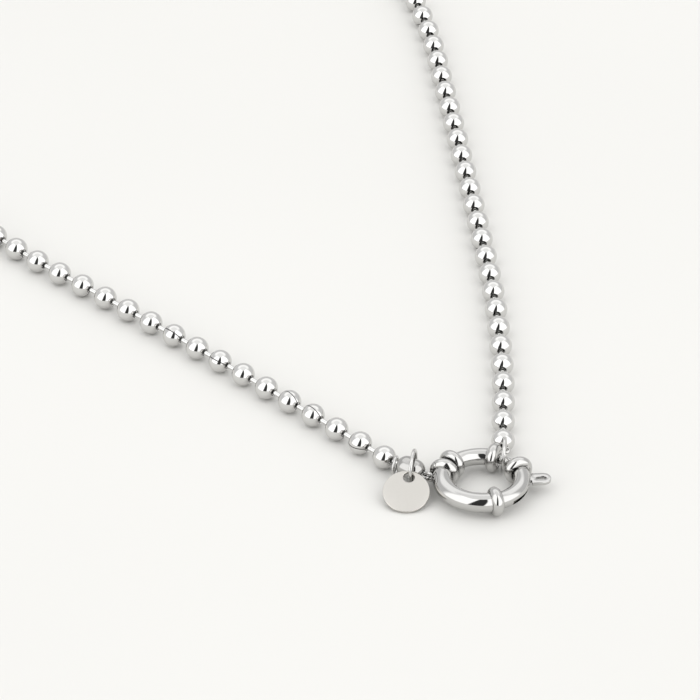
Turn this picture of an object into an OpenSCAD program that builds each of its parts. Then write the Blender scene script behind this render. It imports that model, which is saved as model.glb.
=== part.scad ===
// Ball chain necklace laid out on a table, with a round bolt clasp and a small disc tag.
// Lengths are in mm. The floor is z = 0 and the middle of the whole outline is at x = 0, y = 0.

/* [Chain] */
// diameter of one hollow ball
ball_d = 4; // [3.2:0.1:6]
// wall of one hollow ball
ball_wall = 0.3; // [0.2:0.05:0.5]
// distance from ball to ball
ball_pitch = 5.7; // [5:0.1:9]
// shank of the pins that join the balls
pin_d = 0.8; // [0.6:0.05:1]
// play of a pin's shank in the openings of a ball, all round
pin_play = 0.3; // [0.2:0.05:0.4]
// how much wider than the opening the flat pin heads are, on each side
head_lip = 0.2; // [0.1:0.05:0.3]
// thickness of a pin head
head_t = 0.6; // [0.4:0.05:0.8]
// gap between the two heads that meet in a ball
head_gap = 0.2; // [0.15:0.05:0.5]

/* [End cap and its small ring] */
// diameter of the long bead that ends the chain
cap_d = 3.7; // [3:0.1:4.2]
// length of the long bead
cap_len = 5.2; // [4.6:0.1:7]
// wall of the long bead
cap_wall = 0.4; // [0.25:0.05:0.6]
// distance from the long bead's round left end to the first ball, along the last pin
last_pin_pitch = 5.2; // [5.1:0.1:7]
// outer diameter of the small ring on the last pin
small_ring_d = 3.6; // [3.2:0.1:4.2]
// wire of the small ring
small_ring_wire = 0.5; // [0.4:0.05:0.7]
// middle radius of the soldered loops and eyes
loop_r = 0.7; // [0.65:0.05:0.9]
// wire of the soldered loops and eyes
loop_wire = 0.5; // [0.4:0.05:0.6]

/* [Clasp] */
// middle radius of the clasp's round tube
clasp_r = 6.6; // [6:0.1:9]
// outer diameter of the tube
tube_d = 2.85; // [2.7:0.05:3.2]
// outer diameter of the tube where it is thicker, on the side of the eyelet
thick_tube_d = 3.3; // [3.2:0.05:3.8]
// diameter of the sliding bolt in the tube
bolt_d = 1.6; // [1.2:0.05:1.8]
// play of the bolt in the tube, all round
bolt_play = 0.2; // [0.1:0.05:0.3]
// outer diameter of the raised collars
collar_d = 5; // [4.7:0.1:5.4]
// width of one half-round collar
collar_w = 2; // [1.7:0.05:2.2]
// how far the bolt slides back, in degrees round the clasp
bolt_travel = 50; // [40:1:54]
// width of the slot for the finger tab
slot_w = 0.9; // [0.85:0.05:1.2]
// thickness of the finger tab
tab_t = 0.6; // [0.4:0.05:0.7]
// length of the finger tab outside the tube
tab_len = 3.3; // [2.8:0.1:5]
// width of the finger tab
tab_w = 2.8; // [2:0.1:3.3]
// width of the finger tab's neck in the slot
neck_w = 1.2; // [0.9:0.1:1.3]
// length of the oblong hole in the tab
tab_hole_len = 1.7; // [1:0.1:2]
// width of the oblong hole in the tab
tab_hole_w = 0.8; // [0.5:0.1:1.2]

/* [Rings and tag] */
// outer diameter of the ring in the clasp's gate
gate_ring_d = 5.9; // [5.6:0.1:6.4]
// wire of the ring in the clasp's gate
gate_ring_wire = 0.6; // [0.5:0.05:0.7]
// outer diameter of the tag's ring
tag_ring_d = 6.2; // [6:0.1:6.6]
// wire of the tag's ring
tag_ring_wire = 0.6; // [0.5:0.05:0.7]
// diameter of the round tag
tag_d = 7.8; // [7:0.1:10]
// thickness of the tag
tag_t = 0.5; // [0.4:0.05:0.8]
// hole in the tag
tag_hole_d = 1.9; // [1.8:0.05:2.4]
// metal left between the tag's hole and its edge
tag_edge = 0.25; // [0.25:0.05:0.8]

/* [Display] */
// which piece is drawn

/* [Hidden] */
$fn = 48;

// gap between pieces that touch on the real thing
touch = 0.04;
// play of the ring's wire in the tag's hole, and the slant at which the wire crosses the tag, from its axis
hole_play = 0.1;
wire_slant = 30;

// chosen places: the clasp's centre, and the points that the chain runs through between its two ends
clasp_at = [21.85, -42];
route = [[-9.9, -18.9], [-26, -2.7], [-42.7, 13.3], [-59.2, 29.1], [-74, 47], [-84, 69], [-88, 93],
    [-83, 117], [-69, 137], [-48, 149], [-24, 151], [-3, 142], [9.5, 126], [14.8, 107], [17.9, 83],
    [20.5, 60], [22.9, 38], [25.2, 14], [26.1, -9]];

// chosen angles in degrees, seen from above: the collars that bound the thick part and the gate first
thick_collar = 161;
low_collar = -72;
gate_collars = [24, 72];
back_collar = 138;
eyelet_angle = 175;
cap_heading = 142;
last_pin_heading = 137;
tab_angle = 4;
gate_ring_angle = 55.5;
gate_ring_heading = 85;
eye_heading = 96;
tag_ring_heading = 260;
tag_heading = 88;
tag_turn = -8;
tag_swing = -35;
small_ring_heading = 75;

// chosen lean of the tag against the floor, where the tag's ring stands along the long bead from its middle,
// and how far the rings stand off the line that they hang on
tag_lean = 24.5;
tag_ring_slide = 0.45;
tag_ring_shift = 0.08;
small_ring_shift = 0.45;
small_ring_reach = 2.54;

// clasp: the tube's heights, radii and the ends of its gate
clasp_z = collar_d / 2;
tube_out = clasp_r + tube_d / 2;
thick_out = clasp_r + thick_tube_d / 2;
bore_d = bolt_d + 2 * bolt_play;
collar_r = (collar_d - collar_w) / 2;
collar_half = asin(collar_w / 2 / clasp_r);
gate_from = gate_collars[0] + collar_half;
gate_to = gate_collars[1] - collar_half;

// bolt: its ends behind the tab and in the socket past the gate, and the room behind it for its spring
end_turn = 1;
bolt_tail = 20;
socket_turn = 8;
spring_turn = 30;
bolt_from = tab_angle - bolt_tail;
bolt_to = gate_to + socket_turn - end_turn;
bore_from = bolt_from - bolt_travel - spring_turn;

// slot: below the tube's axis, with a little room past the tab's neck at both ends
slot_rise = -0.4;
slot_play = 0.8;
neck_turn = asin(neck_w / 2 / tube_out);
slot_from = tab_angle - bolt_travel - neck_turn - slot_play;
slot_to = tab_angle + neck_turn + slot_play;
tab_z = clasp_z + slot_rise;
tab_clear = 0.15;
tab_from = tube_out + tab_clear;

// long bead: its right tip hangs in the clasp's eyelet and it rests on the tag's ring, with its loop and the
// eyelet sunk by a share of their wire into what they are soldered to
loop_sink = 0.35;
loop_reach = loop_r - loop_sink * loop_wire;
eyelet_at = ring_point(thick_out + loop_reach, eyelet_angle, clasp_z);
eyelet_heading = cap_heading + (eyelet_angle - cap_heading) / 4;
cap_rest_z = tag_ring_wire + cap_d / 2 + 2 * touch;
cap_mid = loop_r + loop_reach + cap_len / 2;
cap_rise = asin((cap_rest_z - clasp_z) / cap_mid);
cap_dir = direction(cap_heading, cap_rise);
cap_at = eyelet_at + cap_mid * cap_dir;
cap_left = cap_at + (cap_len - cap_d) / 2 * cap_dir;

// chain: the two end balls follow from the pieces that they hang on
ball_z = ball_d / 2;
first_step = sqrt(pow(last_pin_pitch, 2) - pow(cap_left[2] - ball_z, 2));
first_ball = level(cap_left, ball_z) + first_step * direction(last_pin_heading, 0);
opening_d = pin_d + 2 * pin_play;
head_d = opening_d + 2 * head_lip;

// ring in the gate: it hangs on the bolt, stands on the floor and holds the chain's end eye
gate_ring_r = (gate_ring_d - gate_ring_wire) / 2;
gate_ring_z = gate_ring_d / 2;
bolt_skew = gate_ring_angle - gate_ring_heading;
wire_gap = (bolt_d + gate_ring_wire) / 2 + touch;
wire_off = clasp_r * cos(bolt_skew) - sqrt(pow(clasp_r - wire_gap, 2) - pow(clasp_r * sin(bolt_skew), 2));
bolt_seat = gate_ring_r - wire_off;
gate_ring_shift = sqrt(pow(bolt_seat, 2) - pow(clasp_z - gate_ring_z, 2));
gate_ring_at = ring_point(clasp_r, gate_ring_angle, gate_ring_z)
    + gate_ring_shift * direction(gate_ring_heading, 0);
eye_side = sqrt(pow(gate_ring_r, 2) - pow(gate_ring_z - ball_z, 2));
eye_at = level(gate_ring_at, ball_z) + eye_side * direction(gate_ring_heading, 0);
last_ball = eye_at + (ball_d / 2 + loop_r) * direction(eye_heading, 0);

// chain: a smooth line through the chosen points, cut into equal steps
knots = concat([plan(first_ball)], route, [plan(last_ball)]);
spans = len(knots) - 1;
line = [for (i = [0:spans - 1], t = [0:1 / 16:15 / 16]) smooth(i, t)];
trail = concat(line, [knots[spans]]);
run = [for (i = 0, s = 0; i < len(trail); s = s + (i < len(trail) - 1 ? norm(trail[i + 1] - trail[i]) : 0),
    i = i + 1) s];
run_x = [for (i = [0:len(trail) - 1]) [run[i], trail[i][0]]];
run_y = [for (i = [0:len(trail) - 1]) [run[i], trail[i][1]]];
run_len = run[len(run) - 1];
ball_count = round(run_len / ball_pitch) + 1;
step = run_len / (ball_count - 1);
balls = [for (i = [0:ball_count - 1]) [lookup(i * step, run_x), lookup(i * step, run_y), ball_z]];

// tag's ring: it stands on the floor round the long bead
tag_ring_r = (tag_ring_d - tag_ring_wire) / 2;
tag_ring_at = level(cap_at - tag_ring_slide * cap_dir, tag_ring_d / 2)
    + tag_ring_shift * direction(tag_ring_heading, 0);

// tag: it hangs by its hole on the near side of its ring and rests with its lower edge on the floor
tag_hole_off = tag_d / 2 - tag_edge - tag_hole_d / 2;
tag_slack = tag_hole_d / 2 - tag_t / 2 * tan(wire_slant) - tag_ring_wire / 2 / cos(wire_slant) - hole_play;
tag_reach = tag_d / 2 + tag_hole_off * cos(tag_turn) + tag_slack * cos(tag_swing);
wire_z = tag_t / 2 + tag_reach * sin(tag_lean);
wire_side = sqrt(pow(tag_ring_r, 2) - pow(wire_z - tag_ring_d / 2, 2));
wire_at = level(tag_ring_at, wire_z) + wire_side * direction(tag_ring_heading, 0);
tag_up = direction(tag_heading, tag_lean);
tag_side = direction(tag_heading + 90, 0);
tag_hole_at = wire_at - tag_slack * (cos(tag_swing) * tag_up + sin(tag_swing) * tag_side);
tag_at = tag_hole_at - tag_hole_off * (cos(tag_turn) * tag_up + sin(tag_turn) * tag_side);

// small ring: it stands on the floor round the pin between the long bead and the first ball
small_ring_r = (small_ring_d - small_ring_wire) / 2;
small_ring_at = level(cap_left + small_ring_reach * unit(first_ball - cap_left), small_ring_d / 2)
    - small_ring_shift * direction(small_ring_heading, 0);

// middle of the outline
xs = [for (b = balls) b[0]];
ys = [for (b = balls) b[1]];
x_low = min(xs) - ball_d / 2;
tab_tip = clasp_at[0] + tab_w / 2 + (tab_from + tab_len - tab_w / 2) * cos(tab_angle);
x_high = max(max(xs) + ball_d / 2, tab_tip);
y_low = clasp_at[1] + (clasp_r + collar_r) * sin(low_collar) - collar_w / 2;
y_high = max(ys) + ball_d / 2;
middle = [(x_low + x_high) / 2, (y_low + y_high) / 2, 0];

function direction(turn, rise) = [cos(turn) * cos(rise), sin(turn) * cos(rise), sin(rise)];
function unit(v) = v / norm(v);
function plan(p) = [p[0], p[1]];
function level(p, z) = [p[0], p[1], z];
function ring_point(r, turn, z) = [clasp_at[0] + r * cos(turn), clasp_at[1] + r * sin(turn), z];
function knot(i) = i < 0 ? 2 * knots[0] - knots[1]
    : i > spans ? 2 * knots[spans] - knots[spans - 1] : knots[i];
function smooth(i, t) = 0.5 * (2 * knot(i) + (knot(i + 1) - knot(i - 1)) * t
    + (2 * knot(i - 1) - 5 * knot(i) + 4 * knot(i + 1) - knot(i + 2)) * t * t
    + (3 * knot(i) - knot(i - 1) - 3 * knot(i + 1) + knot(i + 2)) * t * t * t);
function turn_of(v) = atan2(v[1], v[0]);
function before(i) = i == 0 ? cap_left : balls[i - 1];
function after(i) = i == ball_count - 1 ? eye_at : balls[i + 1];

// stands children, drawn along z, on the line from one point to another
module aim(from, to) {
    v = to - from;
    translate(from) rotate([0, acos(v[2] / norm(v)), turn_of(v)]) children();
}

// wire bent to a full ring round the z axis
module wire_ring(r, wire) {
    rotate_extrude() translate([r, 0]) circle(d = wire);
}

// wire ring standing upright, seen from above along the given heading
module standing_ring(at, heading, r, wire) {
    translate(at) rotate([90, 0, heading]) wire_ring(r, wire);
}

// one hollow ball with its two openings on the z axis
module ball() {
    difference() {
        sphere(d = ball_d);
        sphere(d = ball_d - 2 * ball_wall);
        cylinder(h = ball_d + 1, d = opening_d, center = true);
    }
}

// pin with a flat head at both ends, from one ball's middle to the next
module pin(from, to) {
    reach = norm(to - from);
    aim(from, to) rotate_extrude() polygon([[0, head_gap / 2], [head_d / 2, head_gap / 2],
        [head_d / 2, head_gap / 2 + head_t], [pin_d / 2, head_gap / 2 + head_t],
        [pin_d / 2, reach - head_gap / 2 - head_t], [head_d / 2, reach - head_gap / 2 - head_t],
        [head_d / 2, reach - head_gap / 2], [0, reach - head_gap / 2]]);
}

// outline of a long bead, cut down its axis
module bead_outline(d, length) {
    intersection() {
        union() {
            translate([0, (length - d) / 2]) circle(d = d);
            translate([0, -(length - d) / 2]) circle(d = d);
            translate([-d / 2, -(length - d) / 2]) square([d, length - d]);
        }
        translate([0, -length]) square([d, 2 * length]);
    }
}

module chain_balls() {
    color("silver") for (i = [0:ball_count - 1])
        translate(balls[i]) rotate([0, 90, turn_of(after(i) - before(i))]) ball();
}

module chain_links() {
    color("gainsboro") {
        pin(cap_left, first_ball);
        for (i = [0:ball_count - 2]) pin(balls[i], balls[i + 1]);
    }
}

module end_cap() {
    color("lightgray") {
        difference() {
            union() {
                translate(cap_at) rotate([0, 90 - cap_rise, cap_heading])
                    rotate_extrude() bead_outline(cap_d, cap_len);
                translate(eyelet_at + loop_r * cap_dir) rotate([0, -cap_rise, cap_heading])
                    wire_ring(loop_r, loop_wire);
            }
            translate(cap_at) rotate([0, 90 - cap_rise, cap_heading])
                rotate_extrude() bead_outline(cap_d - 2 * cap_wall, cap_len - 2 * cap_wall);
            aim(cap_left, first_ball) cylinder(h = cap_d, d = opening_d);
        }
    }
}

module small_ring() {
    color("silver") standing_ring(small_ring_at, small_ring_heading, small_ring_r, small_ring_wire);
}

module gate_ring() {
    color("silver") standing_ring(gate_ring_at, gate_ring_heading, gate_ring_r, gate_ring_wire);
}

module tag_ring() {
    color("silver") standing_ring(tag_ring_at, tag_ring_heading, tag_ring_r, tag_ring_wire);
}

// ring tube from one angle to another round the clasp
module tube_arc(from, to, d) {
    translate(level(clasp_at, clasp_z)) rotate([0, 0, from])
        rotate_extrude(angle = to - from) translate([clasp_r, 0]) circle(d = d);
}

module collar(turn) {
    translate(ring_point(clasp_r, turn, clasp_z)) rotate([90, 0, turn])
        wire_ring(collar_r, collar_w);
}

module clasp_ring() {
    color("silver") difference() {
        union() {
            tube_arc(gate_to, gate_from + 360, tube_d);
            tube_arc(thick_collar, low_collar + 360, thick_tube_d);
            for (turn = concat(gate_collars, [back_collar, thick_collar, low_collar])) collar(turn);
            standing_ring(eyelet_at, eyelet_heading, loop_r, loop_wire);
        }
        tube_arc(bore_from, gate_from + end_turn, bore_d);
        tube_arc(gate_to - end_turn, gate_to + socket_turn, bore_d);
        translate(level(clasp_at, tab_z)) rotate([0, 0, slot_from])
            rotate_extrude(angle = slot_to - slot_from)
                translate([clasp_r, -slot_w / 2]) square([tube_d, slot_w]);
    }
}

module clasp_bolt() {
    color("lightgray") union() {
        tube_arc(bolt_from, bolt_to, bolt_d);
        translate(level(clasp_at, tab_z - tab_t / 2)) rotate([0, 0, tab_angle]) {
            translate([clasp_r, -neck_w / 2, 0]) cube([tab_from + tab_clear - clasp_r, neck_w, tab_t]);
            difference() {
                union() {
                    translate([tab_from, -tab_w / 2, 0]) cube([tab_len - tab_w / 2, tab_w, tab_t]);
                    translate([tab_from + tab_len - tab_w / 2, 0, 0]) cylinder(h = tab_t, d = tab_w);
                }
                translate([tab_from + tab_len / 2, 0, -tab_t]) tab_hole();
            }
        }
    }
}

module tab_hole() {
    straight = tab_hole_len - tab_hole_w;
    linear_extrude(3 * tab_t) union() {
        translate([-straight / 2, 0]) circle(d = tab_hole_w);
        translate([straight / 2, 0]) circle(d = tab_hole_w);
        translate([-straight / 2, -tab_hole_w / 2]) square([straight, tab_hole_w]);
    }
}

module end_eye() {
    color("silver") union() {
        translate(eye_at) wire_ring(loop_r, loop_wire);
        aim(eye_at, last_ball) rotate_extrude() polygon([[0, loop_r], [pin_d / 2, loop_r],
            [pin_d / 2, loop_r + ball_d / 2 - head_gap / 2 - head_t],
            [head_d / 2, loop_r + ball_d / 2 - head_gap / 2 - head_t],
            [head_d / 2, loop_r + ball_d / 2 - head_gap / 2], [0, loop_r + ball_d / 2 - head_gap / 2]]);
    }
}

module tag() {
    color("gainsboro") translate(tag_at) rotate([0, 0, tag_heading]) rotate([0, -tag_lean, 0])
        difference() {
            translate([0, 0, -tag_t / 2]) cylinder(h = tag_t, d = tag_d);
            rotate([0, 0, tag_turn]) translate([tag_hole_off, 0, -tag_t])
                cylinder(h = 2 * tag_t, d = tag_hole_d);
        }
}

translate(-middle) chain_balls();
translate(-middle) chain_links();
translate(-middle) end_cap();
translate(-middle) small_ring();
translate(-middle) clasp_ring();
translate(-middle) clasp_bolt();
translate(-middle) gate_ring();
translate(-middle) end_eye();
translate(-middle) tag_ring();
translate(-middle) tag();
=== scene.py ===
"""Looks of the ball chain necklace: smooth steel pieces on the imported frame, floor, light tent and camera."""

import logging
import math
from collections.abc import Iterable
from dataclasses import dataclass, field
from enum import Enum
from functools import cache
from random import Random

import bmesh
import bpy
import numpy as np
from mathutils import Matrix, Vector


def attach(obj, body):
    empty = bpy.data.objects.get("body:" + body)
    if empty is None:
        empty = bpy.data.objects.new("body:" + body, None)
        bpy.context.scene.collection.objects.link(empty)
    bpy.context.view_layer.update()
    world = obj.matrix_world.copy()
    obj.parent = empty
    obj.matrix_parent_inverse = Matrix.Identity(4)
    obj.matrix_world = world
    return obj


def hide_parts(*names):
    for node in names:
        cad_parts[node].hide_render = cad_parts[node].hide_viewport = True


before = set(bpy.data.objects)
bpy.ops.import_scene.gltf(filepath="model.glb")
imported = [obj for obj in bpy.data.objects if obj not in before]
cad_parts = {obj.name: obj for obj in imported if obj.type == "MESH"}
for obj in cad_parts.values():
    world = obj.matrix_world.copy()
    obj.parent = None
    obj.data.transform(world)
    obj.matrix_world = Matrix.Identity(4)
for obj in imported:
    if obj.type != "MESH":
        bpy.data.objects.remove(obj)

LOG = logging.getLogger("necklace")
TURN = 2 * math.pi
TO_METRES = 0.001
MERGE = 1e-4  # Points nearer than this are one point, in millimetres.
NEAR_ZERO = 0.001  # Least divisor.
SHARP = 0.8  # Faces that turn by more than this meet in an edge to be eased, in radians.
CUT_GAP = 0.05  # Width of the hairline cut in a jump ring, in millimetres.
PLATE_EASE = 0.1  # Width of a plate's eased edges, in millimetres.
Point = tuple[float, float, float]
Pair = tuple[float, float]
Mesh = bmesh.types.BMesh
Edges = list[bmesh.types.BMEdge]


class Body(Enum):
    """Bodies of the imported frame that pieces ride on."""

    NECKLACE = "necklace"
    BOLT = "bolt"


class Slot(Enum):
    """Material slots of the record."""

    POLISHED = "polished_steel"
    BRIGHT = "bright_steel"
    CLASP = "clasp_steel"
    TAG = "satin_tag"


# ---- mesh steps, all in millimetres


def heading(turn: float, rise: float = 0.0) -> Vector:
    """Gives the unit vector of a compass turn and a rise.

    Args:
        turn: Degrees round from +X, seen from above.
        rise: Degrees above the floor.

    Returns:
        The unit vector.
    """
    turn, rise = math.radians(turn), math.radians(rise)
    return Vector((math.cos(turn) * math.cos(rise), math.sin(turn) * math.cos(rise), math.sin(rise)))


def turned(at: Vector, turn: float = 0.0, tilt: float = 0.0, roll: float = 0.0) -> Matrix:
    """Gives the matrix that stands a shape at a place.

    Args:
        at: Where the shape's own origin goes.
        turn: Degrees round Z, applied last.
        tilt: Degrees round Y, applied second.
        roll: Degrees round X, applied first.

    Returns:
        The placing matrix.
    """
    spin = Matrix.Rotation(math.radians(turn), 4, "Z") @ Matrix.Rotation(math.radians(tilt), 4, "Y")
    return Matrix.Translation(at) @ spin @ Matrix.Rotation(math.radians(roll), 4, "X")


def aimed(start: Vector, end: Vector) -> Matrix:
    """Gives the matrix that lays a shape's Z axis on a line, with its X axis upwards.

    Args:
        start: Where the shape's own origin goes.
        end: A point that its Z axis runs through.

    Returns:
        The placing matrix.
    """
    along = (end - start).normalized()
    side = along.cross(Vector((0, 0, 1))).normalized()
    up = side.cross(along)
    matrix = Matrix((up, along.cross(up), along)).transposed().to_4x4()
    matrix.translation = start
    return matrix


def lathe(bm: Mesh, profile: list[Pair], steps: int, closed: bool = False) -> None:
    """Turns a profile of radius and height pairs round the Z axis.

    Args:
        bm: The mesh that takes the shape.
        profile: Radius and height pairs in order.
        steps: Faces round the shape.
        closed: Whether the profile's last point joins its first.
    """
    points = [bm.verts.new((radius, 0, height)) for radius, height in profile]
    edges = [bm.edges.new(pair) for pair in zip(points, points[1:])]
    if closed:
        edges.append(bm.edges.new((points[-1], points[0])))
    geom = points + edges
    bmesh.ops.spin(bm, geom=geom, cent=(0, 0, 0), axis=(0, 0, 1), angle=TURN, steps=steps, use_merge=True)
    bmesh.ops.remove_doubles(bm, verts=bm.verts[:], dist=MERGE)


def arc(centre: Pair, radius: float, start: float, end: float, steps: int) -> list[Pair]:
    """Gives the points of an arc for a profile.

    Args:
        centre: Its centre as radius and height.
        radius: Its own radius.
        start: First angle in degrees, 0 outwards and 90 upwards.
        end: Last angle in degrees.
        steps: Number of equal steps.

    Returns:
        The points from start to end.
    """
    angles = [math.radians(start + (end - start) * i / steps) for i in range(steps + 1)]
    return [(centre[0] + radius * math.cos(a), centre[1] + radius * math.sin(a)) for a in angles]


def sweep_round(
    bm: Mesh, bend: float, radius: float, start: float, end: float, steps: int, sides: int
) -> tuple[Edges, Edges]:
    """Sweeps a round section along an arc about the Z axis and leaves its ends open.

    Args:
        bm: The mesh that takes the shape.
        bend: Radius of the arc.
        radius: Radius of the section.
        start: First angle in degrees.
        end: Last angle in degrees.
        steps: Steps along the arc.
        sides: Sides of the section.

    Returns:
        The edges of the first and of the last section.
    """
    ring = bmesh.ops.create_circle(bm, segments=sides, radius=radius)["verts"]
    bmesh.ops.rotate(bm, verts=ring, cent=(0, 0, 0), matrix=Matrix.Rotation(math.pi / 2, 3, "X"))
    bmesh.ops.translate(bm, verts=ring, vec=(bend, 0, 0))
    bmesh.ops.rotate(bm, verts=ring, cent=(0, 0, 0), matrix=Matrix.Rotation(math.radians(start), 3, "Z"))
    first = list({edge for vert in ring for edge in vert.link_edges})
    made = bmesh.ops.spin(
        bm, geom=ring + first, cent=(0, 0, 0), axis=(0, 0, 1), angle=math.radians(end - start), steps=steps
    )
    last = [item for item in made["geom_last"] if isinstance(item, bmesh.types.BMEdge)]
    return first, last


def cap(bm: Mesh, rims: Iterable[Edges]) -> None:
    """Closes open ends with flat faces.

    Args:
        bm: The mesh with the open ends.
        rims: The edges round each end.
    """
    for rim in rims:
        bmesh.ops.contextual_create(bm, geom=rim)


def sharp_edges(bm: Mesh) -> Edges:
    """Gives the edges in which two faces meet sharply.

    Args:
        bm: The mesh.

    Returns:
        Its sharp edges.
    """
    return [edge for edge in bm.edges if edge.calc_face_angle(0.0) > SHARP]


def ease(bm: Mesh, edges: Edges, width: float, segments: int) -> None:
    """Rounds edges off.

    Args:
        bm: The mesh that holds them.
        edges: The edges.
        width: Width of the rounding on each side.
        segments: Strips that make it up.
    """
    bmesh.ops.bevel(bm, geom=edges, offset=width, affect="EDGES", segments=segments, profile=0.5, material=-1)


def wire_ring(bm: Mesh, radius: float, wire: float, placing: Matrix, cut: float | None = None) -> None:
    """Adds a wire bent to a ring, soldered or with the hairline cut of a jump ring.

    Args:
        bm: The mesh that takes the ring.
        radius: Middle radius.
        wire: Wire diameter.
        placing: Where the ring goes, from its own XY plane.
        cut: Angle of the hairline cut in degrees, or None for a soldered ring.
    """
    part = bmesh.new()
    gap = 0.0 if cut is None else math.degrees(CUT_GAP / radius)
    start = cut or 0.0
    ends = sweep_round(part, radius, wire / 2, start + gap / 2, start + 360 - gap / 2, steps=64, sides=20)
    if cut is None:
        bmesh.ops.remove_doubles(part, verts=part.verts[:], dist=MERGE)
    else:
        cap(part, ends)
        ease(part, ends[0] + ends[1], CUT_GAP, 2)
    join(bm, part, placing)


def join(bm: Mesh, part: Mesh, placing: Matrix) -> None:
    """Puts a finished part in place and adds it to a larger mesh.

    Args:
        bm: The mesh that takes the part.
        part: The part, which is freed.
        placing: Where the part goes.
    """
    bmesh.ops.recalc_face_normals(part, faces=part.faces[:])
    bmesh.ops.transform(part, matrix=placing, verts=part.verts[:])
    holder = bpy.data.meshes.new("holder")
    part.to_mesh(holder)
    part.free()
    bm.from_mesh(holder)
    bpy.data.meshes.remove(holder)


def to_object(bm: Mesh, name: str, material: bpy.types.Material, crease: float = 40.0) -> bpy.types.Object:
    """Makes a finished piece of a mesh, in metres, smooth but for its sharp edges.

    Args:
        bm: The mesh in millimetres, which is freed.
        name: The piece's name.
        material: Its finish.
        crease: Angle between faces in degrees from which an edge stays sharp.

    Returns:
        The new object in the scene.
    """
    bmesh.ops.scale(bm, vec=(TO_METRES,) * 3, verts=bm.verts[:])
    limit = math.radians(crease)
    for edge in bm.edges:
        edge.smooth = len(edge.link_faces) == 2 and edge.calc_face_angle(0.0) < limit
    for face in bm.faces:
        face.smooth = True
    mesh = bpy.data.meshes.new(name)
    bm.to_mesh(mesh)
    bm.free()
    mesh.materials.append(material)
    piece = bpy.data.objects.new(name, mesh)
    bpy.context.scene.collection.objects.link(piece)
    return piece


def settle(piece: bpy.types.Object, node: str, body: Body) -> None:
    """Ties a piece to the frame and reports it.

    Args:
        piece: The finished piece.
        node: The CAD node that it stands for.
        body: The body that it rides on.
    """
    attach(piece, body.value)
    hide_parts(node)
    LOG.info("%s stands for %s: %d faces", piece.name, node, len(piece.data.polygons))


# ---- finishes


Socket = bpy.types.NodeSocket
Feed = float | tuple | Socket
HAZE_EDGE = (0.42, 0.72)  # Cloudiness at which a hazed patch starts and at which it is full.
HAIR_RATIO = 6.0  # How much finer the hairlines are than the hazed patches.
SEAM_CORE = 0.45  # Share of a seam's half width that is dark throughout.
SEAM_COLOUR = (0.02, 0.02, 0.02, 1)
SEAM_ROUGH = 0.4  # How much rougher a seam is.
# Painted shade: the near-black colour laid into the steel's crevices, where shade falls.
CREVICE_SHADE_COLOUR = (0.03, 0.03, 0.03, 1)
CREVICE_SHADE_EDGE = (0.82, 0.46)  # Openness of a crevice at which the painted shade starts and at which it is full.
HAIR_STRENGTH = 0.6  # Share of the hairlines' depth that shows.


class NodeBench:
    """Adds nodes to one shader tree and wires them up."""

    def __init__(self, tree: bpy.types.NodeTree) -> None:
        """Takes the tree to work on.

        Args:
            tree: The tree.
        """
        self.tree = tree

    def feed(self, socket: Socket, value: Feed) -> None:
        """Links a socket or sets its value.

        Args:
            socket: The input socket.
            value: The output socket or plain value that feeds it.
        """
        if isinstance(value, Socket):
            self.tree.links.new(value, socket)
        else:
            socket.default_value = value

    def add(self, kind: str, feeds: dict[str | int, Feed] | None = None, **settings: str | bool) -> bpy.types.Node:
        """Adds one node.

        Args:
            kind: Type of the node.
            feeds: Values or sockets for its inputs, by name or number.
            settings: Its own settings.

        Returns:
            The new node.
        """
        node = self.tree.nodes.new(kind)
        for name, value in settings.items():
            setattr(node, name, value)
        for key, value in (feeds or {}).items():
            self.feed(node.inputs[key], value)
        return node

    def maths(self, operation: str, *values: Feed) -> Socket:
        """Adds one calculation.

        Args:
            operation: Its operation.
            values: Its one, two or three values.

        Returns:
            The socket of its result.
        """
        return self.add("ShaderNodeMath", dict(enumerate(values)), operation=operation).outputs[0]

    def ramp(self, value: Feed, low: float, high: float) -> Socket:
        """Adds a soft step from 0 at one value to 1 at another, which may be the smaller one.

        Args:
            value: The value that is looked at.
            low: Where the step gives 0.
            high: Where it gives 1.

        Returns:
            The socket of its result.
        """
        feeds = {"Value": value, "From Min": min(low, high), "From Max": max(low, high)}
        feeds |= {"To Min": float(low > high), "To Max": float(low < high)}
        return self.add("ShaderNodeMapRange", feeds, interpolation_type="SMOOTHSTEP").outputs["Result"]

    def patch(self, *masks: Socket) -> Socket:
        """Adds the product of several masks.

        Args:
            masks: The masks, two or more.

        Returns:
            The socket of the mask that they have in common.
        """
        whole = masks[0]
        for mask in masks[1:]:
            whole = self.maths("MULTIPLY", whole, mask)
        return whole

    def blend(self, share: Feed, first: Feed, second: Feed) -> Socket:
        """Adds a mix of two colours.

        Args:
            share: Share of the second colour.
            first: The first colour.
            second: The second colour.

        Returns:
            The socket of the mixed colour.
        """
        feeds = {0: share, 6: first, 7: second}
        return self.add("ShaderNodeMix", feeds, data_type="RGBA").outputs[2]


def new_group(name: str, inputs: dict[str, str], outputs: tuple[str, ...]) -> bpy.types.NodeTree:
    """Makes a node group that has its sockets and nothing else.

    Args:
        name: The group's name.
        inputs: Kind of each input, Vector or Float, by its label.
        outputs: Labels of its outputs, which are all plain values.

    Returns:
        The node group.
    """
    tree = bpy.data.node_groups.new(name, "ShaderNodeTree")
    for label, kind in inputs.items():
        tree.interface.new_socket(label, in_out="INPUT", socket_type="NodeSocket" + kind)
    for label in outputs:
        tree.interface.new_socket(label, in_out="OUTPUT", socket_type="NodeSocketFloat")
    return tree


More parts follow.
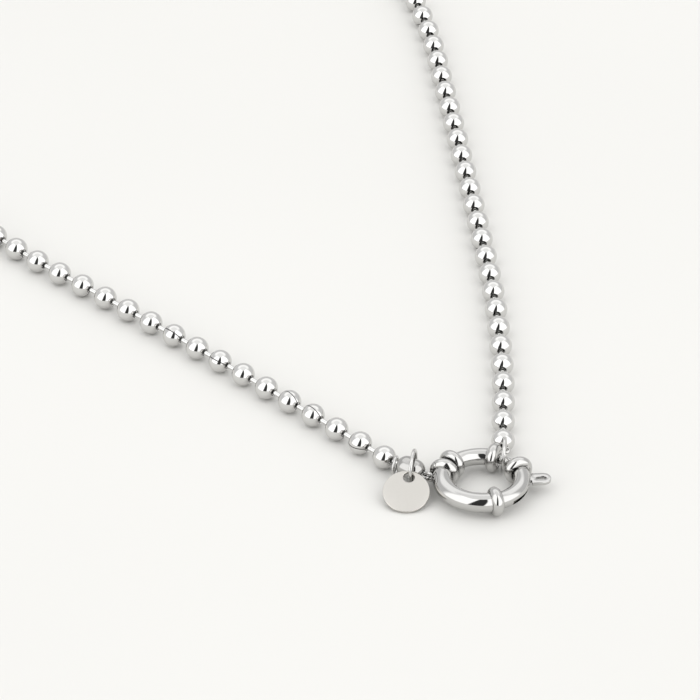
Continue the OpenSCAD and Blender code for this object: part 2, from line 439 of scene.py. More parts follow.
@cache
def handling_marks() -> bpy.types.NodeTree:
    """Makes the shared group of handling marks on steel: cloudy patches of haze and fine hairlines.

    Returns:
        The node group, with Vector, Grain and Haze in, and Haze and Height out.
    """
    inputs = {"Vector": "Vector", "Grain": "Float", "Haze": "Float"}
    tree = new_group("handling_marks", inputs, ("Haze", "Height"))
    bench = NodeBench(tree)
    inside = bench.add("NodeGroupInput").outputs
    feeds = {"Vector": inside["Vector"], "Scale": inside["Grain"], "Detail": 3.0}
    cloud = bench.add("ShaderNodeTexNoise", feeds)
    feeds |= {"Scale": bench.maths("MULTIPLY", inside["Grain"], HAIR_RATIO), "Detail": 2.0}
    fine = bench.add("ShaderNodeTexNoise", feeds)
    haze = bench.maths("MULTIPLY", bench.ramp(cloud.outputs["Fac"], *HAZE_EDGE), inside["Haze"])
    bench.add("NodeGroupOutput", {"Haze": haze, "Height": fine.outputs["Fac"]})
    return tree


@cache
def sheet_seam() -> bpy.types.NodeTree:
    """Makes the group that draws the butt seam of a rolled ball, from opening to opening along its UV map.

    Returns:
        The node group, with UV and Width in and Line out.
    """
    tree = new_group("sheet_seam", {"UV": "Vector", "Width": "Float"}, ("Line",))
    bench = NodeBench(tree)
    inside = bench.add("NodeGroupInput").outputs
    parts = bench.add("ShaderNodeSeparateXYZ", {"Vector": inside["UV"]}).outputs
    off = bench.maths("ABSOLUTE", bench.maths("SUBTRACT", parts["X"], 0.5))
    girth = bench.maths("SINE", bench.maths("MULTIPLY", parts["Y"], math.pi))
    away = bench.maths("DIVIDE", bench.maths("MULTIPLY", off, girth), inside["Width"])
    bench.add("NodeGroupOutput", {"Line": bench.ramp(away, 1.0, SEAM_CORE)})
    return tree


@dataclass(frozen=True)
class Steel:
    """A polished or satin steel finish.

    Attributes:
        name: The material's name.
        colour: Its colour.
        deep: Its colour where it is hazed or worn.
        gloss: Roughness of the clean surface.
        haze: How much rougher the hazed patches are.
        grain: Scale of the marks per metre.
        depth: Depth of the hairlines in metres.
        seam: Half width of a ball's seam as a share of its girth, or 0 for none.
        brush: Scale of the marks along the brushing, as a share of that across it, or 1 for none.
        lay: Turn of the brushing in degrees.
        crevice_shade: Reach of the painted shade that darkens its crevices, in metres, or 0 for none.
    """

    name: str
    colour: Point
    deep: Point
    gloss: float
    haze: float
    grain: float = 900.0
    depth: float = 2e-7
    seam: float = 0.0
    brush: float = 1.0
    lay: float = 0.0
    crevice_shade: float = 0.0

    @cache
    def material(self) -> bpy.types.Material:
        """Builds the finish once.

        Returns:
            The material.
        """
        material = bpy.data.materials.new(self.name)
        material.use_nodes = True
        material.diffuse_color = (*self.colour, 1.0)
        bench = NodeBench(material.node_tree)
        shader = material.node_tree.nodes["Principled BSDF"]
        place = bench.add("ShaderNodeTexCoord").outputs
        turn = (0, 0, math.radians(self.lay))
        feeds = {"Vector": place["Object"], "Rotation": turn, "Scale": (1, self.brush, 1)}
        stretch = bench.add("ShaderNodeMapping", feeds)
        marks = bench.add("ShaderNodeGroup", node_tree=handling_marks())
        bench.feed(marks.inputs["Vector"], stretch.outputs[0])
        bench.feed(marks.inputs["Grain"], self.grain)
        bench.feed(marks.inputs["Haze"], self.haze)
        colour = bench.blend(marks.outputs["Haze"], (*self.colour, 1), (*self.deep, 1))
        rough = bench.maths("ADD", marks.outputs["Haze"], self.gloss)
        if self.seam:
            seam = bench.add("ShaderNodeGroup", node_tree=sheet_seam())
            bench.feed(seam.inputs["UV"], place["UV"])
            bench.feed(seam.inputs["Width"], self.seam)
            line = seam.outputs["Line"]
            colour = bench.blend(line, colour, SEAM_COLOUR)
            rough = bench.maths("MULTIPLY_ADD", line, SEAM_ROUGH, rough)
        # Painted shade: darkens the colour towards near black where the piece's own surfaces close in round a
        # spot, in its crevices, collar roots and openings.
        if self.crevice_shade:
            feeds = {"Distance": self.crevice_shade}
            open_share = bench.add("ShaderNodeAmbientOcclusion", feeds, only_local=True).outputs["AO"]
            colour = bench.blend(bench.ramp(open_share, *CREVICE_SHADE_EDGE), colour, CREVICE_SHADE_COLOUR)
        feeds = {"Height": marks.outputs["Height"], "Strength": HAIR_STRENGTH, "Distance": self.depth}
        bump = bench.add("ShaderNodeBump", feeds)
        shader.inputs["Metallic"].default_value = 1.0
        bench.feed(shader.inputs["Base Color"], colour)
        bench.feed(shader.inputs["Roughness"], rough)
        bench.feed(shader.inputs["Normal"], bump.outputs[0])
        return material


BALL_STEEL = Steel(
    "ball_polish", (0.66, 0.655, 0.645), (0.56, 0.55, 0.535), gloss=0.03, haze=0.03, seam=0.0085
)
PIN_STEEL = Steel("pin_polish", (0.72, 0.72, 0.71), (0.6, 0.59, 0.57), gloss=0.12, haze=0.1)
# The bead carries painted shade in its crevices and round its loop.
CAP_STEEL = Steel(
    "bead_polish", (0.44, 0.435, 0.425), (0.37, 0.365, 0.355), gloss=0.05, haze=0.06, crevice_shade=0.0014
)
RING_STEEL = Steel("ring_polish", (0.6, 0.595, 0.585), (0.5, 0.49, 0.475), gloss=0.05, haze=0.06)
# The clasp carries painted shade in its crevices, between its collars and at their roots.
CLASP_STEEL = Steel(
    "clasp_polish", (0.55, 0.545, 0.535), (0.46, 0.453, 0.443), gloss=0.04, haze=0.05, crevice_shade=0.0014
)
TAG_STEEL = Steel(
    "tag_satin", (0.6, 0.582, 0.55), (0.52, 0.502, 0.47), gloss=0.3, haze=0.05, grain=2200.0, depth=2e-6,
    brush=0.06, lay=20.0
)


# ---- chain


@dataclass
class Chain:
    """The hollow balls and the pins between them, placed by the balls of the frame.

    Attributes:
        ball: Diameter of a ball.
        wall: Its wall.
        opening: Diameter of its two openings.
        pin: Diameter of a pin's shank.
        head: Diameter of a pin's head.
        head_thick: Thickness of a pin's head.
        head_gap: Gap between two heads in a ball.
        sides: Faces round a ball.
        outer_steps: Faces from opening to opening outside.
        inner_steps: Faces from opening to opening inside.
        rim_ease: Width of the eased rim of an opening.
        seams: Turn of the seam of balls whose seam shows, in degrees from the top, by their number.
        loll: How far the seams of the other balls may lie from straight below, in degrees.
        seed: Start of the random draws of their turns.
        top_margin: Depth of the cap of a CAD ball that counts as its top.
        ball_reach: Distance from a ball's middle up to which all points are its own, in ball diameters.
        centres: Middles of the balls in the chain's order.
        start: The point that the first pin starts from.
    """

    ball: float = 4.0
    wall: float = 0.3
    opening: float = 1.4
    pin: float = 0.8
    head: float = 1.8
    head_thick: float = 0.6
    head_gap: float = 0.2
    sides: int = 32
    outer_steps: int = 14
    inner_steps: int = 5
    rim_ease: float = 0.06
    seams: dict[int, float] = field(default_factory=lambda: {1: -84, 3: -13, 4: -4, 7: -52, 9: -34})
    loll: float = 50.0
    seed: int = 7
    top_margin: float = 0.1
    ball_reach: float = 0.67
    centres: list[Vector] = field(default_factory=list)
    start: Vector = field(default_factory=Vector)

    def find_balls(self, node: bpy.types.Object) -> None:
        """Reads the middle of each ball from its CAD node, in the chain's order.

        Args:
            node: The CAD node of the balls.
        """
        spots = np.empty(len(node.data.vertices) * 3)
        node.data.vertices.foreach_get("co", spots)
        spots = spots.reshape(-1, 3) / TO_METRES
        radius = self.ball / 2
        loose: list[Vector] = []
        for top in spots[spots[:, 2] > self.ball - self.top_margin]:
            if all(math.dist(top[:2], spot.xy) > radius for spot in loose):
                below = np.linalg.norm(spots - (top[0], top[1], radius), axis=1)
                near = spots[below < self.ball_reach * self.ball]
                middle = (near.min(0) + near.max(0)) / 2
                skin = near[np.linalg.norm(near - middle, axis=1) > radius - self.wall / 2]
                fit = np.linalg.lstsq(np.c_[2 * skin, np.ones(len(skin))], (skin**2).sum(1), rcond=None)[0]
                loose.append(Vector(fit[:3]))
        here = self.start
        while loose:
            here = min(loose, key=lambda spot: (spot - here).length)
            loose.remove(here)
            self.centres.append(here)

    def ball_shape(self) -> bpy.types.Mesh:
        """Turns one hollow ball round Z, with rolled rims and a UV map that runs round it.

        Returns:
            The ball's mesh, centred on its origin.
        """
        outer, inner, rim = self.ball / 2, self.ball / 2 - self.wall, self.opening / 2
        out_end = 90 - math.degrees(math.asin(rim / outer))
        in_end = 90 - math.degrees(math.asin(rim / inner))
        profile = arc((0, 0), outer, out_end, -out_end, self.outer_steps)
        profile += arc((0, 0), inner, -in_end, in_end, self.inner_steps)
        bm = bmesh.new()
        lathe(bm, profile, self.sides, closed=True)
        skin = outer - self.wall / 2
        rims = [edge for edge in sharp_edges(bm) if edge.verts[0].co.length > skin]
        ease(bm, rims, self.rim_ease, 1)
        bmesh.ops.recalc_face_normals(bm, faces=bm.faces[:])
        wrap = bm.loops.layers.uv.new("wrap")
        for face in bm.faces:
            middle = face.calc_center_median()
            base = math.atan2(middle.y, middle.x)
            for loop in face.loops:
                spot = loop.vert.co
                off = (math.atan2(spot.y, spot.x) - base + math.pi) % TURN - math.pi
                polar = math.acos(max(-1.0, min(1.0, spot.z / spot.length)))
                loop[wrap].uv = ((base + off) / TURN + 0.5, polar / math.pi)
        shape = bpy.data.meshes.new("one_ball")
        bm.to_mesh(shape)
        bm.free()
        return shape

    def build_balls(self, end: Vector) -> bpy.types.Object:
        """Sets a ball at each place, its openings along the chain.

        Args:
            end: The point that the chain ends at.

        Returns:
            The piece of all balls.
        """
        shape = self.ball_shape()
        chance = Random(self.seed)
        bm = bmesh.new()
        path = [self.start] + self.centres + [end]
        for number, centre in enumerate(self.centres):
            placing = aimed(centre, centre + path[number + 2] - path[number])
            seam = self.seams.get(number, 180 + chance.uniform(-self.loll, self.loll))
            placing = placing @ Matrix.Rotation(math.radians(seam), 4, "Z")
            first = len(bm.verts)
            bm.from_mesh(shape)
            bm.verts.ensure_lookup_table()
            bmesh.ops.transform(bm, matrix=placing, verts=bm.verts[first:])
        bpy.data.meshes.remove(shape)
        return to_object(bm, "ball_skins", BALL_STEEL.material())

    def build_pins(self) -> bpy.types.Object:
        """Turns the headed pins from ball to ball.

        Returns:
            The piece of all pins.
        """
        bm = bmesh.new()
        path = [self.start] + self.centres
        for here, there in zip(path, path[1:]):
            part = bmesh.new()
            lathe(part, self.pin_profile((there - here).length), steps=16)
            join(bm, part, aimed(here, there))
        return to_object(bm, "link_pins", PIN_STEEL.material())

    def pin_profile(self, reach: float) -> list[Pair]:
        """Gives the profile of a pin with a head at each end.

        Args:
            reach: Distance between the middles of the two balls that it joins.

        Returns:
            Its radius and height pairs.
        """
        low, top, shank = self.head_gap / 2, self.head_gap / 2 + self.head_thick, self.pin / 2
        half = [(0, low), (self.head / 2, low), (self.head / 2, top), (shank, top)]
        return half + [(radius, reach - height) for radius, height in reversed(half)]

    def dress(self, start: Vector, end: Vector) -> None:
        """Builds the chain and ties it to the frame.

        Args:
            start: Middle of the long bead's left end.
            end: Middle of the end eye.
        """
        self.start = start
        self.find_balls(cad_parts["chain_balls"])
        settle(self.build_balls(end), "chain_balls", Body.NECKLACE)
        settle(self.build_pins(), "chain_links", Body.NECKLACE)


# ---- long bead, rings and tag


@dataclass
class LongBead:
    """The long bead that ends the chain, with its soldered loop.

    Attributes:
        at: Its middle.
        turn: Heading of its axis from left to right end, in degrees.
        rise: Rise of its axis, in degrees.
        diameter: Its diameter.
        length: Its length.
        wall: Its wall.
        opening: Diameter of the opening for the last pin.
        rim_ease: Width of the eased rim of that opening.
        loop: Middle radius of the loop.
        wire: Wire of the loop.
        loop_at: Middle of the loop.
    """

    at: Vector = field(default_factory=lambda: Vector((38.421, -90.253, 2.530)))
    turn: float = 142.0
    rise: float = 0.449
    diameter: float = 3.7
    length: float = 5.2
    wall: float = 0.4
    opening: float = 1.4
    rim_ease: float = 0.05
    loop: float = 0.7
    wire: float = 0.5
    loop_at: Vector = field(default_factory=lambda: Vector((40.884, -92.177, 2.506)))

    def left_end(self) -> Vector:
        """Gives the middle of the round left end.

        Returns:
            That point.
        """
        return self.at + (self.length - self.diameter) / 2 * heading(self.turn, self.rise)

    def dress(self) -> None:
        """Builds the bead with its loop and ties it to the frame."""
        outer, straight, rim = self.diameter / 2, (self.length - self.diameter) / 2, self.opening / 2
        inner = outer - self.wall
        out_end = 90 - math.degrees(math.asin(rim / outer))
        in_end = 90 - math.degrees(math.asin(rim / inner))
        profile = arc((0, straight), outer, out_end, 0, steps=8) + arc((0, -straight), outer, 0, -90, steps=10)
        profile += arc((0, -straight), inner, -90, 0, steps=5) + arc((0, straight), inner, 0, in_end, steps=4)
        part = bmesh.new()
        lathe(part, profile, steps=48, closed=True)
        rims = [edge for edge in sharp_edges(part) if edge.verts[0].co.z > straight]
        ease(part, rims, self.rim_ease, 2)
        bm = bmesh.new()
        join(bm, part, turned(self.at, self.turn, 90 - self.rise))
        wire_ring(bm, self.loop, self.wire, turned(self.loop_at, self.turn, -self.rise))
        settle(to_object(bm, "long_bead", CAP_STEEL.material()), "end_cap", Body.NECKLACE)


@dataclass
class JumpRing:
    """A jump ring that stands on the floor.

    Attributes:
        name: The piece's name.
        node: The CAD node that it stands for.
        at: Its middle.
        turn: Heading of its plane in degrees.
        outer: Outer diameter.
        wire: Wire diameter.
        cut: Where the wire's ends meet, in degrees from its heading towards the top.
    """

    name: str
    node: str
    at: Vector
    turn: float
    outer: float
    wire: float
    cut: float

    def dress(self) -> None:
        """Builds the ring and ties it to the frame."""
        bm = bmesh.new()
        placing = turned(self.at, self.turn, roll=90)
        wire_ring(bm, (self.outer - self.wire) / 2, self.wire, placing, self.cut)
        settle(to_object(bm, self.name, RING_STEEL.material()), self.node, Body.NECKLACE)


@dataclass
class EndEye:
    """The headed pin with an eye that joins the last ball to the ring in the gate.

    Attributes:
        at: Middle of the eye.
        turn: Heading of the pin in degrees.
        loop: Middle radius of the eye.
        wire: Wire of the eye.
        pin: Diameter of the pin.
        head: Diameter of its head.
        reach: Where the head starts, from the eye's middle.
        end: Where the head ends.
    """

    at: Vector = field(default_factory=lambda: Vector((54.2365, -84.2615, 2.0)))
    turn: float = 96.0
    loop: float = 0.7
    wire: float = 0.5
    pin: float = 0.8
    head: float = 1.8
    reach: float = 2.0
    end: float = 2.6

    def dress(self) -> None:
        """Builds the eye with its pin and ties it to the frame."""
        bm = bmesh.new()
        wire_ring(bm, self.loop, self.wire, Matrix.Translation(self.at))
        part = bmesh.new()
        shank, wide = self.pin / 2, self.head / 2
        profile = [(0, self.loop), (shank, self.loop), (shank, self.reach), (wide, self.reach), (wide, self.end)]
        lathe(part, [*profile, (0, self.end)], steps=16)
        join(bm, part, aimed(self.at, self.at + heading(self.turn)))
        settle(to_object(bm, "strand_eye", RING_STEEL.material()), "end_eye", Body.NECKLACE)


def plate(bm: Mesh, outlines: list[Edges], thick: float) -> None:
    """Makes a flat plate of an outline and its holes, with eased edges.

    Args:
        bm: The mesh that holds the outlines in its XY plane, at the plate's underside.
        outlines: The closed outlines, the outer one and the holes.
        thick: Thickness of the plate.
    """
    edges = [edge for outline in outlines for edge in outline]
    bmesh.ops.triangle_fill(bm, use_beauty=True, use_dissolve=False, edges=edges)
    grown = bmesh.ops.extrude_face_region(bm, geom=bm.faces[:], use_keep_orig=True)["geom"]
    lifted = [item for item in grown if isinstance(item, bmesh.types.BMVert)]
    bmesh.ops.translate(bm, verts=lifted, vec=(0, 0, thick))
    bmesh.ops.recalc_face_normals(bm, faces=bm.faces[:])
    ease(bm, sharp_edges(bm), PLATE_EASE, 3)


def disc_outline(bm: Mesh, at: Pair, radius: float, sides: int) -> Edges:
    """Draws a round outline.

    Args:
        bm: The mesh that takes it, in its XY plane.
        at: Its centre.
        radius: Its radius.
        sides: Its sides.

    Returns:
        Its edges.
    """
    ring = bmesh.ops.create_circle(bm, segments=sides, radius=radius)["verts"]
    bmesh.ops.translate(bm, verts=ring, vec=(*at, 0))
    return list({edge for vert in ring for edge in vert.link_edges})


@dataclass
class DiscTag:
    """The small round tag, which leans on its lower edge.

    Attributes:
        at: Its middle.
        turn: Heading of its slope in degrees.
        lean: How steep it lies, in degrees.
        diameter: Its diameter.
        thick: Its thickness.
        hole: Diameter of its hole.
        hole_off: Distance of the hole from its middle.
        hole_turn: Turn of the hole on the disc in degrees.
    """

    at: Vector = field(default_factory=lambda: Vector((37.600, -96.045, 1.867)))
    turn: float = 88.0
    lean: float = 24.5
    diameter: float = 7.8
    thick: float = 0.5
    hole: float = 1.9
    hole_off: float = 2.7
    hole_turn: float = -8.0

    def dress(self) -> None:
        """Builds the tag and ties it to the frame."""
        part = bmesh.new()
        spot = self.hole_off * heading(self.hole_turn)
        rims = [disc_outline(part, (0, 0), self.diameter / 2, sides=96)]
        rims.append(disc_outline(part, spot.xy, self.hole / 2, sides=48))
        plate(part, rims, self.thick)
        bmesh.ops.translate(part, verts=part.verts[:], vec=(0, 0, -self.thick / 2))
        bm = bmesh.new()
        join(bm, part, turned(self.at, self.turn, -self.lean))
        settle(to_object(bm, "disc_tag", TAG_STEEL.material()), "tag", Body.NECKLACE)


# ---- clasp


@dataclass
class Clasp:
    """The round tube with its collars, eyelet, bore and slot, and the bolt with its finger tab.

    Attributes:
        at: Middle of the clasp, on the tube's axis.
        bend: Middle radius of the tube.
        tube: Outer diameter of the tube.
        thick_tube: Outer diameter of its thick stretch.
        thick_arc: Angles of the thick stretch's two ends.
        bore: Diameter of its bore.
        gate: Angles of the tube's two open ends, in degrees, the one that the bolt leaves last.
        bore_from: Angle at which the long bore ends.
        socket: Angle at which the short bore ends.
        collars: Angles of the raised collars.
        collar: Outer diameter of a collar.
        collar_width: Its width.
        collar_arc: Half the angle that a collar's round profile turns through.
        eyelet_at: Middle of the soldered eyelet.
        eyelet_turn: Heading of its plane.
        loop: Middle radius of the eyelet.
        wire: Wire of the eyelet.
        slot: Angles of the slot's two ends.
        slot_low: Height of the slot's lower side above the tube's axis.
        slot_high: Height of its upper side.
        cut_turn: How far past the slot's ends its cuts reach, in degrees.
        cut_rise: How far above and below the tube's axis they reach.
        bolt: Diameter of the bolt.
        bolt_arc: Angles of the bolt's two ends.
        bolt_ease: Width of the eased edges of its ends.
        tab_turn: Angle at which the tab stands.
        tab_from: Distance from the clasp's middle at which the tab gets wide.
        tab_length: Length of its wide part.
        tab_width: Width of its wide part.
        neck_width: Width of its neck.
        tab_thick: Its thickness.
        tab_rise: Height of its middle above the tube's axis.
        slit_length: Length of the oblong hole.
        slit_width: Width of the oblong hole.
    """

    at: Vector = field(default_factory=lambda: Vector((50.177, -93.373, 2.5)))
    bend: float = 6.6
    tube: float = 2.85
    thick_tube: float = 3.3
    thick_arc: Pair = (161.0, 288.0)
    bore: float = 2.0
    gate: Pair = (63.285, 392.715)
    bore_from: float = 264.0
    socket: float = 71.285
    collars: tuple[float, ...] = (24, 72, 138, 161, 288)
    collar: float = 5.0
    collar_width: float = 2.0
    collar_arc: float = 108.0
    eyelet_at: Vector = field(default_factory=lambda: Vector((41.435, -92.608, 2.5)))
    eyelet_turn: float = 150.25
    loop: float = 0.7
    wire: float = 0.5
    slot: Pair = (308.91, 369.09)
    slot_low: float = -0.85
    slot_high: float = 0.05
    cut_turn: float = 4.0
    cut_rise: float = 1.4
    bolt: float = 1.6
    bolt_arc: Pair = (-16.0, 70.285)
    bolt_ease: float = 0.15
    tab_turn: float = 4.0
    tab_from: float = 8.175
    tab_length: float = 3.3
    tab_width: float = 2.8
    neck_width: float = 1.2
    tab_thick: float = 0.6
    tab_rise: float = -0.4
    slit_length: float = 1.7
    slit_width: float = 0.8

    def near_slot(self, spot: Vector, margin: float, low: float, high: float) -> bool:
        """Says whether a point of the tube lies at or near the slot, on its outer side.

        Args:
            spot: The point, from the clasp's middle.
            margin: How far past the slot's ends it may lie, in degrees.
            low: Height above which it must lie.
            high: Height below which it must lie.

        Returns:
            Whether it does.
        """
        turn = math.degrees(math.atan2(spot.y, spot.x)) % 360
        turn += 360 if turn < 180 else 0
        along = self.slot[0] - margin < turn < self.slot[1] + margin
        return along and low < spot.z < high and spot.xy.length > self.bend

    def build_tube(self) -> Mesh:
        """Sweeps the tube's skin and bores, cuts the slot and closes every wall.

        Returns:
            The tube round its own middle.
        """
        bm = bmesh.new()
        radius, bore = self.tube / 2, self.bore / 2
        skin_a, skin_b = sweep_round(bm, self.bend, radius, *self.gate, steps=172, sides=36)
        long_end, long_mouth = sweep_round(bm, self.bend, bore, self.bore_from, self.gate[1], steps=71, sides=28)
        short_mouth, short_end = sweep_round(bm, self.bend, bore, self.gate[0], self.socket, steps=4, sides=28)
        cap(bm, (long_end, short_end))
        for mouth in (skin_a + short_mouth, skin_b + long_mouth):
            bmesh.ops.bridge_loops(bm, edges=mouth)
        low, high = (math.radians(turn) for turn in self.slot)
        cuts = [((0, 0, self.slot_low), (0, 0, 1)), ((0, 0, self.slot_high), (0, 0, 1))]
        cuts += [((0, 0, 0), (-math.sin(turn), math.cos(turn), 0)) for turn in (low, high)]
        for spot, normal in cuts:
            reach = (self.cut_turn, -self.cut_rise, self.cut_rise)
            near = [face for face in bm.faces if self.near_slot(face.calc_center_median(), *reach)]
            parts = {item for face in near for item in (face, *face.edges, *face.verts)}
            bmesh.ops.bisect_plane(bm, geom=list(parts), dist=1e-5, plane_co=spot, plane_no=normal)
        opening = (0.0, self.slot_low, self.slot_high)
        gone = [face for face in bm.faces if self.near_slot(face.calc_center_median(), *opening)]
        bmesh.ops.delete(bm, geom=gone, context="FACES")
        open_edges = [edge for edge in bm.edges if edge.is_boundary]
        bmesh.ops.bridge_loops(bm, edges=open_edges)
        bmesh.ops.recalc_face_normals(bm, faces=bm.faces[:])
        return bm

    def build_body(self) -> bpy.types.Object:
        """Builds the tube with its collars and eyelet.

        Returns:
            The piece of the clasp's body.
        """
        bm = bmesh.new()
        join(bm, self.build_tube(), Matrix.Translation(self.at))
        thick = bmesh.new()
        cap(thick, sweep_round(thick, self.bend, self.thick_tube / 2, *self.thick_arc, steps=64, sides=40))
        join(bm, thick, Matrix.Translation(self.at))
        middle = ((self.collar - self.collar_width) / 2, 0)
        profile = arc(middle, self.collar_width / 2, -self.collar_arc, self.collar_arc, steps=20)
        for turn in self.collars:
            part = bmesh.new()
            lathe(part, profile, steps=56, closed=True)
            join(bm, part, turned(self.at + self.bend * heading(turn), turn, roll=90))
        wire_ring(bm, self.loop, self.wire, turned(self.eyelet_at, self.eyelet_turn, roll=90))
        return to_object(bm, "clasp_body", CLASP_STEEL.material(), crease=32.0)

    def build_bolt(self) -> bpy.types.Object:
        """Builds the curved bolt with its flat finger tab.

        Returns:
            The piece of the bolt.
        """
        bm = bmesh.new()
        rod = bmesh.new()
        ends = sweep_round(rod, self.bend, self.bolt / 2, *self.bolt_arc, steps=62, sides=28)
        cap(rod, ends)
        ease(rod, ends[0] + ends[1], self.bolt_ease, 3)
        join(bm, rod, Matrix.Translation(self.at))
        tab = bmesh.new()
        rims = [self.tab_outline(tab), self.slit_outline(tab)]
        plate(tab, rims, self.tab_thick)
        join(bm, tab, turned(self.at + Vector((0, 0, self.tab_rise - self.tab_thick / 2)), self.tab_turn))
        return to_object(bm, "clasp_slider", CLASP_STEEL.material(), crease=32.0)

    def tab_outline(self, bm: Mesh) -> Edges:
        """Draws the tab's outline: neck, shoulders and round outer end.

        Args:
            bm: The empty mesh that takes it.

        Returns:
            Its edges.
        """
        neck, wide = self.neck_width / 2, self.tab_width / 2
        centre = self.tab_from + self.tab_length - wide
        side = ((self.bend, neck), (self.tab_from, neck), (self.tab_from, wide))
        lower = [bm.verts.new((x, -y, 0)) for x, y in (*side, (centre, wide))]
        bmesh.ops.spin(bm, geom=[lower[-1]], cent=(centre, 0, 0), axis=(0, 0, 1), angle=math.pi, steps=24)
        upper_end = max(bm.verts, key=lambda vert: (vert.co.y, -abs(vert.co.x - centre)))
        upper = [bm.verts.new((x, y, 0)) for x, y in reversed(side)]
        for run in (lower, [upper_end, *upper, lower[0]]):
            for pair in zip(run, run[1:]):
                bm.edges.new(pair)
        return bm.edges[:]

    def slit_outline(self, bm: Mesh) -> Edges:
        """Draws the oblong hole in the tab.

        Args:
            bm: The mesh of the tab's outline, which takes it too.

        Returns:
            The hole's edges.
        """
        before = set(bm.edges)
        half, side = (self.slit_length - self.slit_width) / 2, self.slit_width / 2
        centre = self.tab_from + self.tab_length / 2
        right = bm.verts.new((centre + half, -side, 0))
        left = bm.verts.new((centre - half, side, 0))
        ends = []
        for vert, middle in ((right, centre + half), (left, centre - half)):
            made = bmesh.ops.spin(bm, geom=[vert], cent=(middle, 0, 0), axis=(0, 0, 1), angle=math.pi, steps=10)
            ends.append(next(item for item in made["geom_last"] if isinstance(item, bmesh.types.BMVert)))
        bm.edges.new((ends[0], left))
        bm.edges.new((ends[1], right))
        return [edge for edge in bm.edges if edge not in before]

    def dress(self) -> None:
        """Builds the clasp and ties it to the frame."""
        settle(self.build_body(), "clasp_ring", Body.NECKLACE)
        settle(self.build_bolt(), "clasp_bolt", Body.BOLT)


# ---- studio


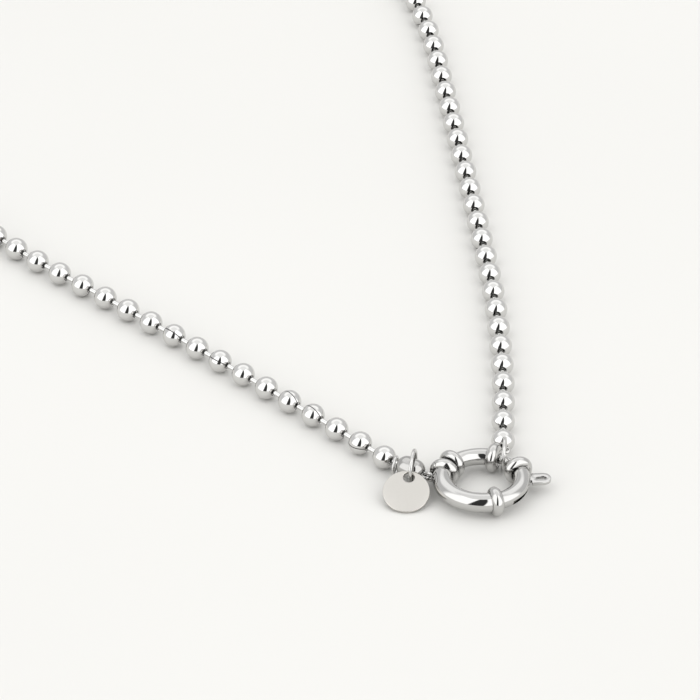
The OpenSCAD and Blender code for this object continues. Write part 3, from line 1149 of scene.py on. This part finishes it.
@dataclass
class Studio:
    """The pale floor, the white light tent with its narrow front slit, and the camera.

    Each pair says where a patch of the tent fades out and where it is full: heights as the sine of an
    elevation, the others as a share towards the front or to either side.

    Attributes:
        target: Point that the camera looks at, in metres.
        distance: Distance of the camera, in metres.
        elevation: How far it looks down, in degrees.
        focal: Focal length in millimetres for a sensor 36 mm wide.
        base: Brightness of the tent's sides.
        panel: Extra brightness of its front panels.
        top: Extra brightness of its top.
        band: Extra brightness of the band of light high at the back.
        slit: Half width of the slit, as a share of its distance.
        slit_shift: How far to the right of the middle the slit stands at the floor.
        slit_lean: How far the slit leans to the right as it rises.
        slit_front: Its edge towards the back.
        slit_top: Its upper edge.
        slit_soft: Width of its soft sides, as a share of its half width.
        slit_depth: Share of the light that it takes away.
        panel_front: The front panels' edge towards the back.
        panel_foot: Their lower edge.
        panel_head: Their upper edge.
        band_side: The band's two side edges.
        band_back: Its edge towards the front.
        band_foot: Its lower edge.
        band_head: Its upper edge.
        top_edge: The top's edge.
        light: Colour of the light.
        boards: The floor's two colours.
        board_size: Half the floor's side, in metres.
    """

    target: Point = (0.028327, -0.051373, 0.0)
    distance: float = 0.830016
    elevation: float = 34.0
    focal: float = 246.857
    base: float = 0.8
    panel: float = 1.05
    top: float = 0.4
    band: float = 0.65
    slit: float = 0.31
    slit_shift: float = -0.27
    slit_lean: float = 0.32
    slit_front: Pair = (0.0, 0.1)
    slit_top: Pair = (0.965, 0.945)
    slit_soft: float = 0.15
    slit_depth: float = 0.97
    panel_front: Pair = (-0.15, 0.1)
    panel_foot: Pair = (-0.02, 0.02)
    panel_head: Pair = (0.97, 0.9)
    band_side: Pair = (0.8, 0.5)
    band_back: Pair = (0.0, -0.2)
    band_foot: Pair = (0.5, 0.62)
    band_head: Pair = (0.92, 0.84)
    top_edge: Pair = (0.84, 0.94)
    light: Point = (1.0, 1.0, 0.996)
    boards: tuple[Point, Point] = ((0.718, 0.712, 0.692), (0.73, 0.724, 0.704))
    board_size: float = 3.0

    def build_floor(self) -> None:
        """Lays the pale floor."""
        bm = bmesh.new()
        bmesh.ops.create_grid(bm, x_segments=1, y_segments=1, size=self.board_size)
        mesh = bpy.data.meshes.new("floor")
        bm.to_mesh(mesh)
        bm.free()
        floor = bpy.data.objects.new("floor", mesh)
        bpy.context.scene.collection.objects.link(floor)
        material = bpy.data.materials.new("pale_board")
        material.use_nodes = True
        bench = NodeBench(material.node_tree)
        shader = material.node_tree.nodes["Principled BSDF"]
        place = bench.add("ShaderNodeTexCoord").outputs
        cloud = bench.add("ShaderNodeTexNoise", {"Vector": place["Object"], "Scale": 6.0})
        share = bench.ramp(cloud.outputs["Fac"], 0.3, 0.7)
        colour = bench.blend(share, *((*board, 1) for board in self.boards))
        bench.feed(shader.inputs["Base Color"], colour)
        shader.inputs["Roughness"].default_value = 0.7
        shader.inputs["Specular IOR Level"].default_value = 0.2
        mesh.materials.append(material)

    def build_tent(self) -> None:
        """Lights the scene by a white tent: front panels, top, back band and a dark slit in front."""
        world = bpy.data.worlds.new("light_tent")
        world.use_nodes = True
        bench = NodeBench(world.node_tree)
        place = bench.add("ShaderNodeTexCoord").outputs
        parts = bench.add("ShaderNodeSeparateXYZ", {"Vector": place["Generated"]}).outputs
        across, height = parts["X"], parts["Z"]
        front = bench.maths("MULTIPLY", parts["Y"], -1.0)
        lean = bench.maths("MULTIPLY_ADD", height, self.slit_lean, self.slit_shift)
        depth = bench.maths("MAXIMUM", front, NEAR_ZERO)
        side = bench.maths("DIVIDE", bench.maths("SUBTRACT", across, lean), depth)
        wide, narrow = self.slit * (1 + self.slit_soft), self.slit * (1 - self.slit_soft)
        slit = bench.patch(
            bench.ramp(bench.maths("ABSOLUTE", side), wide, narrow),
            bench.ramp(front, *self.slit_front),
            bench.ramp(height, *self.slit_top),
        )
        panel = bench.patch(
            bench.ramp(front, *self.panel_front),
            bench.ramp(height, *self.panel_foot),
            bench.ramp(height, *self.panel_head),
        )
        band = bench.patch(
            bench.ramp(bench.maths("ABSOLUTE", across), *self.band_side),
            bench.ramp(front, *self.band_back),
            bench.ramp(height, *self.band_foot),
            bench.ramp(height, *self.band_head),
        )
        top = bench.ramp(height, *self.top_edge)
        glow = self.base
        for mask, share in ((panel, self.panel), (band, self.band), (top, self.top)):
            glow = bench.maths("MULTIPLY_ADD", mask, share, glow)
        glow = bench.maths("MULTIPLY", glow, bench.maths("MULTIPLY_ADD", slit, -self.slit_depth, 1.0))
        background = world.node_tree.nodes["Background"]
        background.inputs["Color"].default_value = (*self.light, 1.0)
        bench.feed(background.inputs["Strength"], glow)
        bpy.context.scene.world = world

    def build_camera(self) -> None:
        """Sets the camera at the photograph's angle."""
        scene = bpy.context.scene
        lens = bpy.data.cameras.new("camera")
        lens.sensor_width = 36.0
        lens.lens = self.focal
        lens.clip_start, lens.clip_end = 0.01, 20.0
        camera = bpy.data.objects.new("camera", lens)
        scene.collection.objects.link(camera)
        away = heading(-90, self.elevation)
        camera.location = Vector(self.target) + self.distance * away
        camera.rotation_euler = (-away).to_track_quat("-Z", "Y").to_euler()
        scene.camera = camera
        scene.view_settings.view_transform = "Standard"

    def dress(self) -> None:
        """Builds the whole studio."""
        self.build_floor()
        self.build_tent()
        self.build_camera()


def main() -> None:
    """Builds the studio and every piece, and notes the sizes."""
    logging.basicConfig(level=logging.INFO, format="%(name)s: %(message)s")
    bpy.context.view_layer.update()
    Studio().dress()
    bead, eye = LongBead(), EndEye()
    Chain().dress(bead.left_end(), eye.at)
    bead.dress()
    eye.dress()
    spots = (Vector((35.866, -88.503, 1.8)), Vector((38.762, -90.609, 3.1)), Vector((54.021, -86.726, 2.95)))
    JumpRing("pin_ring", "small_ring", spots[0], turn=75, outer=3.6, wire=0.5, cut=200).dress()
    JumpRing("tag_jump_ring", "tag_ring", spots[1], turn=260, outer=6.2, wire=0.6, cut=150).dress()
    JumpRing("gate_jump_ring", "gate_ring", spots[2], turn=85, outer=5.9, wire=0.6, cut=60).dress()
    Clasp().dress()
    DiscTag().dress()


if __name__ == "__main__":
    main()
